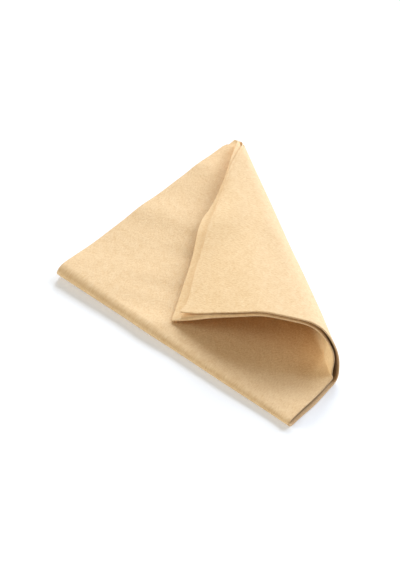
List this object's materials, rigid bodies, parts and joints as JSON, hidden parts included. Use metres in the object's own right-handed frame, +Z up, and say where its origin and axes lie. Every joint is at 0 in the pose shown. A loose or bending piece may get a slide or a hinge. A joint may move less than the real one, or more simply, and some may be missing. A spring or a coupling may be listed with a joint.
{
  "type": "glass cleaning cloth",
  "caption": "Soft cleaning cloth folded in quarters and laid flat, with one corner rolled loosely over. The roll opens out along its creases.",
  "frame": {"origin": "on the underside, in the middle of the box that the folded cloth fills", "axes": "+X along the main fold towards the closed corner, +Y from the main fold to the back cut edge, +Z up from the surface that the cloth lies on"},
  "size_m": [0.2002, 0.1898, 0.0329],
  "materials": {
    "cloth": "matt brushed nap, tan"
  },
  "bodies": {
    "bed": {"lower_sheet_bed": "cloth", "upper_sheet_bed": "cloth", "main_fold_outer": "cloth", "main_fold_inner": "cloth"},
    "lower_roll_1": {"lower_sheet_roll_1": "cloth"},
    "lower_roll_2": {"lower_sheet_roll_2": "cloth"},
    "lower_roll_3": {"lower_sheet_roll_3": "cloth"},
    "lower_crown": {"lower_sheet_crown": "cloth"},
    "lower_flap": {"lower_sheet_flap": "cloth"},
    "upper_roll_1": {"upper_sheet_roll_1": "cloth"},
    "upper_roll_2": {"upper_sheet_roll_2": "cloth"},
    "upper_roll_3": {"upper_sheet_roll_3": "cloth"},
    "upper_crown": {"upper_sheet_crown": "cloth"},
    "upper_flap": {"upper_sheet_flap": "cloth"}
  },
  "joints": [
    {"name": "unroll", "type": "hinge", "parent": "bed", "child": "lower_roll_1", "pos_m": [0.10012, -0.04389, 0], "axis": [-0.8181, 0.5751, 0], "range_deg": [0, 77]},
    {"name": "lower_roll_2_crease", "type": "hinge", "parent": "lower_roll_1", "child": "lower_roll_2", "pos_m": [0.09301, -0.03451, 0.01554], "axis": [-0.8233, 0.5658, -0.0459], "range_deg": [0, 33]},
    {"name": "lower_roll_3_crease", "type": "hinge", "parent": "lower_roll_2", "child": "lower_roll_3", "pos_m": [0.08428, -0.03333, 0.0261], "axis": [-0.8147, 0.5744, -0.0787], "range_deg": [0, 33]},
    {"name": "lower_crown_crease", "type": "hinge", "parent": "lower_roll_3", "child": "lower_crown", "pos_m": [0.07269, -0.03675, 0.03267], "axis": [-0.796, 0.5969, -0.1006], "range_deg": [0, 33]},
    {"name": "lower_flap_crease", "type": "hinge", "parent": "lower_crown", "child": "lower_flap", "pos_m": [0.04314, -0.05028, 0.03301], "axis": [-0.737, 0.6675, -0.1062], "range_deg": [0, 21.87]},
    {"name": "upper_roll_1_crease", "type": "hinge", "parent": "bed", "child": "upper_roll_1", "pos_m": [0.09911, -0.04533, 0.0022], "axis": [-0.8181, 0.5751, 0], "range_deg": [0, 77]},
    {"name": "upper_roll_2_crease", "type": "hinge", "parent": "upper_roll_1", "child": "upper_roll_2", "pos_m": [0.09171, -0.0364, 0.0154], "axis": [-0.8233, 0.5658, -0.0459], "range_deg": [0, 33]},
    {"name": "upper_roll_3_crease", "type": "hinge", "parent": "upper_roll_2", "child": "upper_roll_3", "pos_m": [0.0833, -0.0349, 0.02474], "axis": [-0.8147, 0.5744, -0.0787], "range_deg": [0, 33]},
    {"name": "upper_crown_crease", "type": "hinge", "parent": "upper_roll_3", "child": "upper_crown", "pos_m": [0.07239, -0.03752, 0.03053], "axis": [-0.796, 0.5969, -0.1006], "range_deg": [0, 33]},
    {"name": "upper_flap_crease", "type": "hinge", "parent": "upper_crown", "child": "upper_flap", "pos_m": [0.04352, -0.05021, 0.0308], "axis": [-0.737, 0.6675, -0.1062], "range_deg": [0, 21.87]}
  ],
  "couplings": [
    {"joint": "lower_roll_2_crease", "follows": "unroll", "ratio": 0.42857},
    {"joint": "lower_roll_3_crease", "follows": "unroll", "ratio": 0.42857},
    {"joint": "lower_crown_crease", "follows": "unroll", "ratio": 0.42857},
    {"joint": "lower_flap_crease", "follows": "unroll", "ratio": 0.28398},
    {"joint": "upper_roll_1_crease", "follows": "unroll", "ratio": 1},
    {"joint": "upper_roll_2_crease", "follows": "unroll", "ratio": 0.42857},
    {"joint": "upper_roll_3_crease", "follows": "unroll", "ratio": 0.42857},
    {"joint": "upper_crown_crease", "follows": "unroll", "ratio": 0.42857},
    {"joint": "upper_flap_crease", "follows": "unroll", "ratio": 0.28398}
  ]
}
